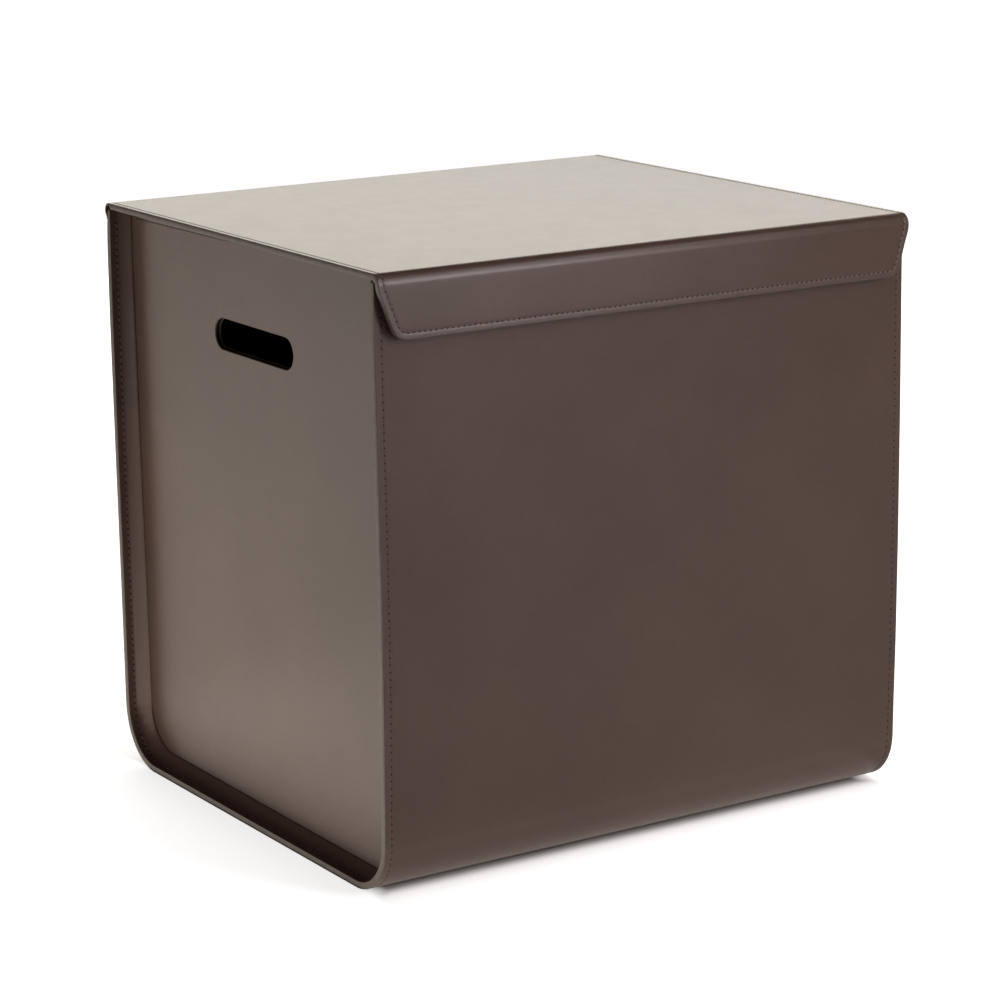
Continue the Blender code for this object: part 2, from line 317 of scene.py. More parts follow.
class Line:
    """A line of the box's section in Y and Z, with the way inwards, and its own length, at every point."""

    def __init__(self):
        self.points = []
        self.inwards = []

    def add(self, point, inwards):
        if not self.points or (Vector(point) - self.points[-1]).length > 1e-7:
            self.points.append(Vector(point))
            self.inwards.append(Vector(inwards).normalized())

    def straight(self, start, end, inwards, steps):
        for i in range(steps + 1):
            self.add(Vector(start).lerp(Vector(end), i / steps), inwards)

    def bend(self, centre, radius, start, end, steps):
        for i in range(steps + 1):
            angle = math.radians(start + (end - start) * i / steps)
            away = Vector((math.cos(angle), math.sin(angle)))
            self.add(Vector(centre) + radius * away, -away)

    def finish(self):
        self.lengths = [0.0]
        for before, after in zip(self.points, self.points[1:]):
            self.lengths.append(self.lengths[-1] + (after - before).length)
        self.length = self.lengths[-1]
        return self

    def spot(self, along):
        """Which step of the line a distance falls in, the share of that step, and the way inwards there."""
        i = min(max(bisect.bisect_right(self.lengths, along) - 1, 0), len(self.points) - 2)
        share = (along - self.lengths[i]) / (self.lengths[i + 1] - self.lengths[i])
        inwards = self.inwards[i].lerp(self.inwards[i + 1], min(max(share, 0), 1)).normalized()
        return i, share, inwards

    def at(self, along, depth=0.0):
        """(y, z) a distance along the line and a depth inwards. Past an end the line goes straight on."""
        i, share, inwards = self.spot(along)
        return self.points[i].lerp(self.points[i + 1], share) + inwards * depth

    def rows(self, start, end):
        """The distances of the line's own points between two ends, with the ends themselves."""
        inside = [length for length in self.lengths if start + 1e-5 < length < end - 1e-5]
        return [start, *inside, end]


def wrap_line():
    """Down the front wall, under the box and up the back wall."""
    line = Line()
    line.straight((FRONT, WALL_TOP), (FRONT, FRONT_BEND), (1, 0), steps=30)
    line.bend((FRONT + FRONT_BEND, FRONT_BEND), FRONT_BEND, 180, 270, steps=30)
    line.straight((FRONT + FRONT_BEND, 0), (BACK - BACK_BEND, 0), (0, 1), steps=16)
    line.bend((BACK - BACK_BEND, BACK_BEND), BACK_BEND, 270, 360, steps=34)
    line.straight((BACK, BACK_BEND), (BACK, WALL_TOP), (-1, 0), steps=30)
    return line.finish()


def lid_line():
    """Forwards over the lid, round its front bend and down the flap."""
    line = Line()
    line.straight((LID_END, HEIGHT), (FLAP_FACE + LID_BEND, HEIGHT), (0, -1), steps=8)
    line.bend((FLAP_FACE + LID_BEND, HEIGHT - LID_BEND), LID_BEND, 90, 180 - FLAP_LEAN, steps=26)
    lean = math.radians(FLAP_LEAN)
    start = line.points[-1]
    run = (start.y - FLAP_BOTTOM) / math.cos(lean)
    outwards = Vector((-math.sin(lean), -math.cos(lean)))
    line.straight(start, start + outwards * run, (math.cos(lean), -math.sin(lean)), steps=6)
    return line.finish()


def hinge_line():
    """Up the back wall, out in a soft bulge, round, and forwards to the lid."""
    line = Line()
    high = HEIGHT - HINGE_CURL
    for i in range(HINGE_RISE_STEPS + 1):
        share = i / HINGE_RISE_STEPS
        out = HINGE_BULGE * (1 - math.cos(math.pi * share)) / 2
        slope = HINGE_BULGE * math.pi * math.sin(math.pi * share) / 2 / (high - HINGE_LOW)
        line.add((BACK + out, HINGE_LOW + (high - HINGE_LOW) * share), (-1, slope))
    line.bend((BACK + HINGE_BULGE - HINGE_CURL, high), HINGE_CURL, 0, 90, steps=16)
    line.straight((BACK + HINGE_BULGE - HINGE_CURL, HEIGHT), (LID_END, HEIGHT), (0, -1), steps=2)
    return line.finish()


WRAP = wrap_line()
LID = lid_line()
HINGE = hinge_line()
FRONT_CUT = WALL_TOP - FRONT_TOP
BACK_LEATHER_END = WRAP.length - (WALL_TOP - WRAP_LEATHER_BACK_TOP)


def eased(value):
    value = min(max(value, 0.0), 1.0)
    return value * value * (3 - 2 * value)


def read_off(curve, value):
    """A value between the points of a curve given as (place, value) pairs."""
    places, values = zip(*curve)
    return float(np.interp(value, places, values))


# How far the walls stand out of true, against height: the left and right ends of the front, and the back
FRONT_LEFT_BOW = (
    (0, 0), (0.036, 0.0007), (0.067, 0.0014), (0.13, 0.0024), (0.193, 0.0022), (0.254, 0.001),
    (0.315, -0.0002), (0.355, -0.0008), (0.39, -0.001),
)
FRONT_RIGHT_BOW = (
    (0, 0), (0.03, -0.0012), (0.06, -0.0009), (0.1, 0), (0.17, 0.0004), (0.256, 0),
    (0.306, -0.0006), (0.355, -0.0012), (0.39, -0.0014),
)
BACK_BOW = (
    (0, 0), (0.034, -0.0014), (0.078, -0.0012), (0.142, -0.0006), (0.2, 0.0002), (0.268, 0.0008),
    (0.31, 0.0011), (0.35, 0.0008), (0.372, 0), (0.39, 0),
)
# A wall's bow is whole this near to it, and then fades over a reach
BOW_WHOLE = 0.012
BOW_REACH = 0.07


def settled(x, y, z):
    """A point of the box's body after its walls have bowed a little with use."""
    share = x / WIDTH + 0.5
    front = read_off(FRONT_LEFT_BOW, z) * (1 - share) + read_off(FRONT_RIGHT_BOW, z) * share
    back = read_off(BACK_BOW, z)
    near_front = 1 - eased((y - FRONT - BOW_WHOLE) / BOW_REACH)
    near_back = 1 - eased((BACK - BOW_WHOLE - y) / BOW_REACH)
    return Vector((x, y - front * near_front + back * near_back, z))


def on_wrap(x, along, depth):
    return settled(x, *WRAP.at(along, depth))


def on_lid(x, along, depth):
    return Vector((x, *LID.at(along, depth)))


def on_hinge(x, along, depth):
    return Vector((x, *HINGE.at(along, depth)))


def put(name, data):
    """A new object of the scene with this mesh, lamp or camera."""
    made = bpy.data.objects.new(name, data)
    bpy.context.scene.collection.objects.link(made)
    return made


def evaluated(piece):
    """The mesh that a piece's modifiers make."""
    graph = bpy.context.evaluated_depsgraph_get()
    return bpy.data.meshes.new_from_object(piece.evaluated_get(graph))


def new_piece(name, shape, material, recalculate=True):
    """A finished mesh as an object of the scene, smooth but for its hard edges."""
    if recalculate:
        bmesh.ops.remove_doubles(shape, verts=shape.verts, dist=1e-7)
        bmesh.ops.recalc_face_normals(shape, faces=shape.faces)
    mesh = bpy.data.meshes.new(name)
    shape.to_mesh(mesh)
    shape.free()
    mesh.materials.append(material)
    mesh.polygons.foreach_set("use_smooth", [True] * len(mesh.polygons))
    mesh.set_sharp_from_angle(angle=HARD_EDGE)
    return put(name, mesh)


def thickened(piece, thickness):
    """An open sheet given its thickness inwards, as a plain mesh whose rims are hard edges."""
    shell = piece.modifiers.new("thickness", "SOLIDIFY")
    shell.thickness = thickness
    shell.offset = -1
    mesh = evaluated(piece)
    piece.modifiers.remove(shell)
    mesh.set_sharp_from_angle(angle=HARD_EDGE)
    piece.data = mesh
    return piece


def belongs(piece, body, slot, *nodes):
    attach(piece, body)
    if nodes:
        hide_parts(*nodes)
    return piece


def bridged(shape, low, high):
    """Faces between two closed loops with as many points each."""
    for i in range(len(low)):
        j = (i + 1) % len(low)
        shape.faces.new((low[i], low[j], high[j], high[i]))


def filled(shape, loops):
    """A flat face, in triangles, between closed loops of points in one plane."""
    edges = []
    for loop in loops:
        for i, point in enumerate(loop):
            pair = (point, loop[(i + 1) % len(loop)])
            edges.append(shape.edges.get(pair) or shape.edges.new(pair))
    bmesh.ops.triangle_fill(shape, edges=edges, use_beauty=True)


def carried(shape, sections, closed=False):
    """Faces between closed loops of points that follow one another, with end caps unless they meet."""
    loops = [[shape.verts.new(point) for point in section] for section in sections]
    pairs = list(zip(loops, loops[1:]))
    if closed:
        pairs.append((loops[-1], loops[0]))
    for low, high in pairs:
        bridged(shape, low, high)
    if not closed:
        shape.faces.new(loops[0][::-1])
        shape.faces.new(loops[-1])


# The shallow valley that a seam pulls into the leather: (distance from the seam, depth)
SEAM_VALLEY = ((-0.0016, 0.0), (-0.0007, 0.00006), (0.0, 0.00016), (0.0007, 0.00006), (0.0016, 0.0))


def seam_groove(inset):
    """The valley of a seam this far from the edge, as (inset from the edge, depth)."""
    return [(inset + away, depth) for away, depth in SEAM_VALLEY]


def quarter_round(radius):
    """A quarter round between two faces: the distances from one and from the other, as it turns."""
    turns = [math.radians(90 * i / ROUND_STEPS) for i in range(ROUND_STEPS + 1)]
    return [(radius * (1 - math.cos(turn)), radius * (1 - math.sin(turn))) for turn in turns]


def sheet_section(edge, depths, groove, round_edge):
    """A sheet's section across the box, in X and depth: over its outer face, and back on the inner one."""
    low, high = depths
    half = quarter_round(round_edge) if round_edge else [(0.0, 0.0)]
    if groove:
        half += seam_groove(SEAM_INSET - (WIDTH / 2 - edge))
    across = [edge - inset for inset, _ in half]
    middle = [across[-1] * i / ACROSS_STEPS for i in range(ACROSS_STEPS - 1, 0, -1)]
    right = [(x, low + depth) for x, (_, depth) in zip(across, half)] + [(x, low) for x in [*middle, 0.0]]
    left = [(-x, depth) for x, depth in right[:-1]]
    inner = [(edge * i / ACROSS_STEPS, high) for i in range(ACROSS_STEPS, -ACROSS_STEPS - 1, -1)]
    return left + right[::-1] + inner


def sheet_along(name, edge, depths, start, end, place, line, material, groove=False, round_edge=0.0):
    section = sheet_section(edge, depths, groove, round_edge)
    shape = bmesh.new()
    carried(shape, [[place(x, along, depth) for x, depth in section] for along in line.rows(start, end)])
    return new_piece(name, shape, material)


def add_wrap():
    inner = WIDTH / 2 - EDGE_COAT
    skin = sheet_along(
        "wrap_leather_skin", inner, (0, LEATHER), FRONT_CUT, BACK_LEATHER_END, on_wrap, WRAP, leather, True
    )
    belongs(skin, "box", "leather", "wrap_leather")
    core = sheet_along("wrap_board", inner, CORE, FRONT_CUT, WRAP.length, on_wrap, WRAP, board)
    belongs(core, "box", "board", "wrap_core")
    lining = sheet_along("wrap_suede", LINING_EDGE, LINING, FRONT_CUT, WRAP.length, on_wrap, WRAP, suede)
    belongs(lining, "box", "lining", "wrap_lining")


def coat_section(reach, low, high):
    """Section of the painted edge, in inset from the edge and depth: a flat band with small round corners."""
    radius = min(EDGE_CORNER, (high - low) / 2)
    corner = quarter_round(radius)
    points = [(reach, low), (radius, low)]
    points += [(inset, low + depth) for depth, inset in corner[1:]]
    points += [(-EDGE_BULGE, low + (high - low) / 3), (-EDGE_BULGE, high - (high - low) / 3)]
    points += [(inset, high - depth) for inset, depth in corner]
    return points + [(reach, high)]


# At the back the painted edge steps in from the hinge, before the leather's end, and has a round end itself
COAT_STEP = 0.0016
COAT_STEP_START = 0.007
COAT_STEP_RUN = 0.008
COAT_ROUND = 0.002
COAT_ROUND_PULL = 0.0013


def wrap_coat_limits(along):
    """Lowest and highest depth that the painted edge covers."""
    low = COAT_STEP * eased((along - (BACK_LEATHER_END - COAT_STEP_START)) / COAT_STEP_RUN)
    high = FLANGE_FACE
    left = WRAP.length - along
    if left < COAT_ROUND:
        pull = (1 - math.sqrt(max(0.0, 1 - ((COAT_ROUND - left) / COAT_ROUND) ** 2))) * COAT_ROUND_PULL
        low += pull
        high -= pull
    return low, high


def add_wrap_coats():
    for side, name in ((-1, "left"), (1, "right")):
        shape = bmesh.new()
        rows = WRAP.rows(FRONT_CUT, WRAP.length - COAT_ROUND)
        rows += [WRAP.length - COAT_ROUND * (1 - i / 6) for i in range(1, 7)]
        loops = []
        for along in rows:
            section = coat_section(EDGE_COAT, *wrap_coat_limits(along))
            loops.append([on_wrap(side * (WIDTH / 2 - inset), along, depth) for inset, depth in section])
        carried(shape, loops)
        belongs(new_piece(f"{name}_wall_edge_coat", shape, coat), "box", "leather")


def top_edge_coat():
    """The painted top edge of the front wall, under the flap."""
    shape = bmesh.new()
    section = coat_section(EDGE_COAT, 0.0, LINING[1])
    end = WIDTH / 2 - 0.0011
    loops = []
    for i in range(-20, 21):
        x = end * (i / 20)
        loops.append([on_wrap(x, FRONT_CUT - EDGE_COAT + inset, depth) for inset, depth in section])
    carried(shape, loops)
    belongs(new_piece("front_top_edge_coat", shape, coat), "box", "leather")


# A side's border, as shares of the recess and the roll: (way in from the sewn edge, height over the flange)
BORDER_SHARES = (
    (0.055, 0.0), (0.20, 0.0), (0.32, 0.0), (0.40, 0.0), (0.46, 0.046), (0.52, 0.120), (0.58, 0.213),
    (0.64, 0.318), (0.70, 0.435), (0.75, 0.539), (0.80, 0.648), (0.84, 0.740), (0.87, 0.810), (0.90, 0.875),
    (0.925, 0.925), (0.945, 0.955), (0.96, 0.965), (0.975, 0.955), (0.988, 0.945), (0.997, 0.955),
    (1.0, 1.02), (1.0, 1.15),
)
# The gathered roll's height against the distance along the wrap, from the front's top round to the back's
ROLL_HEIGHTS = (
    (0.0, 0.0055), (0.350, 0.0055), (0.406, 0.0061), (0.54, 0.0066), (0.678, 0.0074), (0.711, 0.0084),
    (0.744, 0.0086), (0.82, 0.0080), (0.94, 0.0072), (1.02, 0.0066), (1.06, 0.0056), (1.088, 0.0050),
)


# Where the roll is gathered: the start of each bend along the wrap, its length, and the pitch of its puckers
FRONT_TURN = FRONT_BEND * math.pi / 2
BACK_TURN = BACK_BEND * math.pi / 2
GATHERS = (
    (WALL_TOP - FRONT_BEND, FRONT_TURN, 0.0085),
    (WRAP.length - (WALL_TOP - BACK_BEND) - BACK_TURN, BACK_TURN, 0.0068),
)
PUCKER_RISE = 0.00016
GATHER_PAST = 0.15
GATHER_EASE = 0.35


def pucker(along, share):
    """How much the gathered roll rises and falls where the side turns round a bend."""
    height = 0.0
    for start, length, wave in GATHERS:
        place = (along - start) / length
        if -GATHER_PAST < place < 1 + GATHER_PAST:
            turns = (along - start) / wave
            swell = eased((place + GATHER_PAST) / GATHER_EASE)
            swell *= eased((1 + GATHER_PAST - place) / GATHER_EASE)
            height += PUCKER_RISE * swell * math.sin(2 * math.pi * turns + 1.7 * math.sin(turns * 1.3))
    return height * math.sin(math.pi * min(max((share - 0.5) / 0.48, 0), 1))


def slot_loop(reach=0.0):
    """The hand slot's outline in Y and Z, made larger by a reach."""
    radius = SLOT_HEIGHT / 2 + reach
    half = SLOT_LENGTH / 2 - SLOT_HEIGHT / 2
    points = []
    for centre, start in ((MIDDLE_Y + half, -90), (MIDDLE_Y - half, 90)):
        for i in range(SLOT_STEPS + 1):
            angle = math.radians(start + 180 * i / SLOT_STEPS)
            points.append((centre + radius * math.cos(angle), SLOT_Z + radius * math.sin(angle)))
    return points


# The panel's leather round the slot: (distance out from the slot, how far it turns in)
SLOT_RIM = ((0.0, 0.00045), (0.0005, 0.0), (0.0022, 0.0))


def panel_faces(shape, border, x):
    """A flat panel between its border and the hand slot's ring, already in the shape."""
    rings = []
    for reach, turned in SLOT_RIM:
        rings.append([shape.verts.new((x - math.copysign(turned, x), y, z)) for y, z in slot_loop(reach)])
    for inner, outer in zip(rings, rings[1:]):
        bridged(shape, inner, outer)
    filled(shape, (border, rings[-1]))


# Along the border, longer steps of the wrap's line are cut to about this, but not its long straight ones
BORDER_STEP = 0.0016
LONG_STEP = 0.004
LINING_SLOT_REACH = -0.0004


def add_side(name, side):
    """One side's leather: flange inside the wrap's edge, gathered roll, crease, and panel with its slot."""
    shape = bmesh.new()
    rows = WRAP.rows(0.0, WRAP.length)
    fine = []
    for low, high in zip(rows, rows[1:]):
        steps = max(1, round((high - low) / BORDER_STEP)) if high - low < LONG_STEP else 1
        fine += [low + (high - low) * i / steps for i in range(steps)]
    rows = fine + [rows[-1]]
    loops = []
    for x_share, height_share in BORDER_SHARES:
        loop = []
        for along in rows:
            depth = FLANGE_FACE + read_off(ROLL_HEIGHTS, along) * height_share + pucker(along, x_share)
            loop.append(shape.verts.new(on_wrap(side * (WIDTH / 2 - RECESS * x_share), along, depth)))
        loops.append(loop)
    for low, high in zip(loops, loops[1:]):
        for i in range(len(low) - 1):
            shape.faces.new((low[i], low[i + 1], high[i + 1], high[i]))
    panel_faces(shape, loops[-1], side * PANEL_X)
    bmesh.ops.recalc_face_normals(shape, faces=shape.faces)
    outer = max(shape.faces, key=lambda face: face.calc_area())
    if outer.normal.x * side < 0:
        bmesh.ops.reverse_faces(shape, faces=shape.faces)
    skin = thickened(new_piece(name + "_leather_skin", shape, leather, recalculate=False), SIDE_LEATHER)
    belongs(skin, "box", "leather", name + "_leather")

    shape = bmesh.new()
    outline = [on_wrap(0, along, LINING[0]) for along in WRAP.rows(0.0, WRAP.length)]
    faces = []
    for x in SIDE_LINING:
        border = [shape.verts.new((side * x, point.y, point.z)) for point in outline]
        ring = [shape.verts.new((side * x, y, z)) for y, z in slot_loop(LINING_SLOT_REACH)]
        filled(shape, (border, ring))
        faces.append((border, ring))
    for near, far in zip(*faces):
        bridged(shape, near, far)
    belongs(new_piece(name + "_suede", shape, suede), "box", "lining", name + "_lining")


BEAD_SIDES = 8
BEAD_OVERLAP = 1.4


def add_slot_coat(name, side):
    """The painted wall of a hand slot, from the leather's edge to the lining, and a bead at its inner end."""
    outer, inner = PANEL_X - 0.0004, SIDE_LINING[1] + 0.0002
    wall = (
        (outer, 0.0002), (outer - 0.0003, -0.00012), (inner + 0.0004, -0.00016),
        (inner, 0.0), (inner, 0.0008), (outer, 0.0008),
    )
    bead = []
    for i in range(BEAD_SIDES):
        turn = 2 * math.pi * i / BEAD_SIDES
        reach = SLOT_BEAD * (math.sin(turn) - BEAD_OVERLAP)
        bead.append((SIDE_LINING[1] + SLOT_BEAD * math.cos(turn), reach))
    # The slot's wall takes the darkened edge paint, painted shade; the bead takes the plain edge paint.
    for part, section, material in (("_slot_coat_painted_shade", wall, slot_coat_painted_shade), ("_slot_bead", bead, coat)):
        rings = [[(side * x, y, z) for y, z in slot_loop(reach)] for x, reach in section]
        shape = bmesh.new()
        carried(shape, zip(*rings), closed=True)
        belongs(new_piece(name + part, shape, material), "box", "leather")


# The right end of the flap: (how far in from the box's side, height)
FLAP_END = (
    (0.0, 0.3824), (0.0005, 0.3793), (0.0014, 0.3766), (0.0026, 0.3737), (0.0038, 0.3704),
    (0.0050, 0.3667), (0.0063, 0.3630), (0.0076, 0.3595), (0.0089, 0.3561), (0.0102, 0.3538),
    (0.0119, 0.3520), (0.0139, 0.3508), (0.0163, 0.3501), (0.0192, 0.35),
)
FLAP_BOARD_RUN = 0.0325
# A flat sheet is first made longer than the lid at its back by this, then cut there
FLAT_RUN = 0.010


def lid_outline():
    """The lid's outline in X and along its line: from the back down the right side, and up the left one."""
    right = [(WIDTH / 2, -FLAT_RUN)]
    right += [(WIDTH / 2 - inset, LID.length - (z - FLAP_BOTTOM)) for inset, z in FLAP_END]
    return [Vector(point) for point in right + [(-x, along) for x, along in right[::-1]]]


def moved_in(before, point, after, inset):
    """A corner of a clockwise outline once the sides that meet there have moved inwards."""
    sides = []
    for start, end in ((before, point), (point, after)):
        if (end - start).length > 0:
            run = (end - start).normalized()
            sides.append(Vector((-run.y, run.x)))
    across = sum(sides, Vector((0, 0))) / len(sides)
    return point + across * (inset / across.length_squared)


def drawn_in(outline, inset):
    """A closed outline with every side moved inwards by the same distance."""
    corners = zip(outline[-1:] + outline, outline, outline[1:] + outline[:1])
    return [moved_in(before, point, after, inset) for before, point, after in corners]


def lid_sheet(name, edge_inset, depths, material, face=(), begin=0.0):
    """A flat sheet cut to the lid's outline and laid round its bend. Its face can carry a seam's valley."""
    low, high = depths
    shape = bmesh.new()
    rings = []
    for inset, depth in ((edge_inset, high), (edge_inset, low), *face):
        rings.append([shape.verts.new((*point, depth)) for point in drawn_in(lid_outline(), inset)])
    for lower, upper in zip(rings, rings[1:]):
        bridged(shape, lower, upper)
    shape.faces.new(rings[-1])
    shape.faces.new(rings[0][::-1])
    for along in LID.rows(begin, LID.length)[1:-1]:
        everything = shape.verts[:] + shape.edges[:] + shape.faces[:]
        bmesh.ops.bisect_plane(shape, geom=everything, plane_co=(0, along, 0), plane_no=(0, 1, 0), dist=1e-7)
    everything = shape.verts[:] + shape.edges[:] + shape.faces[:]
    cut = bmesh.ops.bisect_plane(
        shape, geom=everything, plane_co=(0, begin, 0), plane_no=(0, -1, 0), clear_outer=True, dist=1e-7
    )
    rim = [part for part in cut["geom_cut"] if isinstance(part, bmesh.types.BMEdge)]
    bmesh.ops.holes_fill(shape, edges=rim, sides=0)
    for vertex in shape.verts:
        vertex.co = on_lid(*vertex.co)
    return new_piece(name, shape, material)


# The lid's stiff end is round under the hinge: over this length, with these depths at its tip and beyond it
LID_END_ROUND = 0.0025
LID_END_TIP = 0.0014
LID_END_FALL = 0.0027


def lid_coat_depth(along, depth):
    """A depth of the edge paint, kept within the lid's round end."""
    if along >= LID_END_ROUND:
        return depth
    share = (LID_END_ROUND - along) / LID_END_ROUND
    return min(depth, LID_END_TIP + LID_END_FALL * math.sqrt(max(0.0, 1 - share ** 2)))


def add_lid():
    skin = lid_sheet("lid_leather_skin", EDGE_COAT, (0.0, LEATHER), leather, seam_groove(LID_SEAM_INSET))
    belongs(skin, "lid", "leather", "lid_leather")
    lining = lid_sheet("lid_suede", EDGE_COAT, LID_LINING, suede)
    belongs(lining, "lid", "lining", "lid_lining")
    stiffener = lid_sheet("flap_stiff_board", 0.0015, LID_BOARD, board, begin=LID.length - FLAP_BOARD_RUN)
    belongs(stiffener, "lid", "board", "flap_board")
    add_lid_edge_coat()
    add_lid_end_coat()


def stepped(path, longest):
    """A path with more points between its own, so that no step is longer than this."""
    points = []
    for before, after in zip(path, path[1:]):
        steps = max(1, math.ceil((after - before).length / longest))
        points += [before.lerp(after, i / steps) for i in range(steps)]
    return points + [path[-1]]


def lid_edge_path():
    """The lid's open outline: down the right side from the back, along the flap and up the left side."""
    outline = lid_outline()
    corner = outline[1]
    side = [Vector((corner.x, 0.0003 * i)) for i in range(9)]
    low, high = side[-1].y + 0.0002, corner.y - 0.0002
    side += [Vector((corner.x, length)) for length in LID.lengths if low < length < high]
    return stepped(side + outline[1:-1] + [Vector((-point.x, point.y)) for point in side[::-1]], 0.02)


def add_lid_edge_coat():
    path = lid_edge_path()
    section = coat_section(EDGE_COAT, 0.0, LID_LINING[1])
    loops = []
    for before, point, after in zip(path[:1] + path, path, path[1:] + path[-1:]):
        loop = []
        for inset, depth in section:
            x, along = moved_in(before, point, after, inset)
            loop.append(on_lid(x, along, lid_coat_depth(point.y, depth)))
        loops.append(loop)
    shape = bmesh.new()
    carried(shape, loops)
    belongs(new_piece("lid_edge_coat", shape, coat), "lid", "leather")


def add_lid_end_coat():
    """The painted back edge of the lid's stiff part, under the hinge."""
    shape = bmesh.new()
    section = (
        (0.0009, 0.00145), (0.0003, 0.0015), (0.0, 0.0020), (0.0, 0.0030),
        (0.0004, 0.0037), (0.0012, 0.0040), (0.0022, 0.00404), (0.0022, 0.0032),
    )
    end = WIDTH / 2 - 0.0006
    carried(shape, [[on_lid(x, along, depth) for along, depth in section] for x in (-end, end)])
    belongs(new_piece("lid_end_coat", shape, coat), "lid", "leather")


def add_hinge():
    """The bending stretch of leather in two halves that meet where it turns."""
    middle = HINGE.lengths[HINGE_RISE_STEPS] + HINGE_CURL * math.pi / 4
    middle = min(HINGE.lengths, key=lambda length: abs(length - middle))
    parts = (
        ("hinge_leather_wall_half", 0.0, middle, "box", "hinge"),
        ("hinge_leather_lid_half", middle, HINGE.length, "hinge", "lid"),
    )
    for name, start, end, first, last in parts:
        piece = sheet_along(
            name, WIDTH / 2, (0.0, LEATHER), start, end, on_hinge, HINGE, leather, True, HINGE_EDGE_ROUND
        )
        if name.endswith("wall_half"):
            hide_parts("hinge_leather")
        bend_hinge(piece, first, last)


def bend_hinge(piece, first, last):
    if first == "box":
        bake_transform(piece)
    else:
        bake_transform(piece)


COVER_CORNER = 0.004
COVER_EDGE = 0.0011


def add_base_insert():
    """The loose base: cover turned down round the board, with soft corners and edges."""
    low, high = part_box("base_cover")
    shape = bmesh.new()
    bmesh.ops.create_cube(shape, size=1.0)
    size = high - low
    middle = (high + low) / 2
    for vertex in shape.verts:
        vertex.co = Vector([middle[i] + vertex.co[i] * size[i] for i in range(3)])
    standing = [edge for edge in shape.edges if abs(edge.verts[0].co.z - edge.verts[1].co.z) > 0.001]
    bmesh.ops.bevel(shape, geom=standing, offset=COVER_CORNER, segments=4, profile=0.5, affect="EDGES")
    upper = [edge for edge in shape.edges if all(vertex.co.z > high.z - 1e-5 for vertex in edge.verts)]
    bmesh.ops.bevel(shape, geom=upper, offset=COVER_EDGE, segments=3, profile=0.5, affect="EDGES")
    underside = [face for face in shape.faces if face.normal.z < -0.9]
    bmesh.ops.delete(shape, geom=underside, context="FACES_ONLY")
    cover = thickened(new_piece("base_insert_cover", shape, suede), LINING_SHEET)
    belongs(cover, "box", "lining", "base_cover")


# How finely a stitch and a needle hole are made, and how far a stitch's ends sink in, in radii
STITCH_STEPS = 5
STITCH_SIDES = 6
HOLE_SIDES = 10
END_SINK = 0.9


def seam_tree(thread):
    """Stitches, and dark discs of painted shade for the needle holes, along a line whose points carry the way
    that the leather faces.
    """
    group = bpy.data.node_groups.new(thread.name + " seam", "GeometryNodeTree")
    face = group.interface
    face.new_socket("Geometry", in_out="INPUT", socket_type="NodeSocketGeometry")
    for name in ("Pitch", "Thread radius", "Thread length", "Rise", "Lean", "Hole radius"):
        face.new_socket(name, in_out="INPUT", socket_type="NodeSocketFloat")
    face.new_socket("Geometry", in_out="OUTPUT", socket_type="NodeSocketGeometry")
    tree = Tree(group)
    add, number = tree.add, tree.number

    given = add("NodeGroupInput").outputs
    curve = add("GeometryNodeMeshToCurve", {"Mesh": given["Geometry"]}).outputs["Curve"]
    half_pitch = number("MULTIPLY", given["Pitch"], 0.5)
    spaced = add("GeometryNodeResampleCurve", {"Curve": curve, "Length": half_pitch}, mode="LENGTH")

    align = "FunctionNodeAlignRotationToVector"
    facing = add("GeometryNodeInputNamedAttribute", {"Name": "facing"}, data_type="FLOAT_VECTOR")
    upright = add(align, {"Vector": facing.outputs["Attribute"]}, axis="Z").outputs["Rotation"]
    tangent = add("GeometryNodeInputTangent").outputs["Tangent"]
    turned = add(align, {"Rotation": upright, "Vector": tangent}, axis="X", pivot_axis="Z")
    lean = add("ShaderNodeCombineXYZ", {"Z": given["Lean"]})
    turns = {"Rotation": turned.outputs["Rotation"], "Rotate By": lean.outputs["Vector"]}
    leaned = add("FunctionNodeRotateRotation", turns, rotation_space="LOCAL").outputs["Rotation"]

    radius = given["Thread radius"]
    half = number("MULTIPLY", given["Thread length"], 0.5)
    low = number("MULTIPLY", radius, -END_SINK)
    start, end = (
        add("ShaderNodeCombineXYZ", {"X": number("MULTIPLY", half, sign), "Z": low}).outputs["Vector"]
        for sign in (-1, 1)
    )
    crown = add("ShaderNodeCombineXYZ", {"Z": given["Rise"]}).outputs["Vector"]
    points = {"Resolution": STITCH_STEPS, "Start": start, "Middle": crown, "End": end}
    arch = add("GeometryNodeCurveQuadraticBezier", points).outputs["Curve"]
    ring = add("GeometryNodeCurvePrimitiveCircle", {"Resolution": STITCH_SIDES, "Radius": radius})
    lines = {"Curve": arch, "Profile Curve": ring.outputs["Curve"], "Fill Caps": True}
    stitch = add("GeometryNodeCurveToMesh", lines)
    # Each needle's hole is a flat dark disc: painted shade for the shadow inside the hole.
    sizes = {"Vertices": HOLE_SIDES, "Depth": HOLE_DEPTH, "Radius": given["Hole radius"]}
    hole_shade_disc = add("GeometryNodeMeshCylinder", sizes, fill_type="NGON")

    odd = number("MODULO", add("GeometryNodeInputIndex").outputs[0], 2)
    even = number("SUBTRACT", 1.0, odd)
    out = add("GeometryNodeJoinGeometry")
    for made, chosen, finish in ((stitch, even, thread), (hole_shade_disc, odd, hole)):
        placed = {
            "Points": spaced.outputs["Curve"],
            "Instance": made.outputs["Mesh"],
            "Selection": chosen,
            "Rotation": leaned,
        }
        copies = add("GeometryNodeInstanceOnPoints", placed).outputs["Instances"]
        whole = add("GeometryNodeRealizeInstances", {"Geometry": copies}).outputs["Geometry"]
        painted = add("GeometryNodeSetMaterial", {"Geometry": whole, "Material": finish})
        tree.join(painted.outputs["Geometry"], out, "Geometry")
    add("NodeGroupOutput", {"Geometry": out.outputs["Geometry"]})
    return group


LID_SEAM, WALL_SEAM_PAINTED_SHADE, TOP_SEAM_PAINTED_SHADE = (seam_tree(thread) for thread in (lid_thread, wall_thread_painted_shade, top_thread_painted_shade))


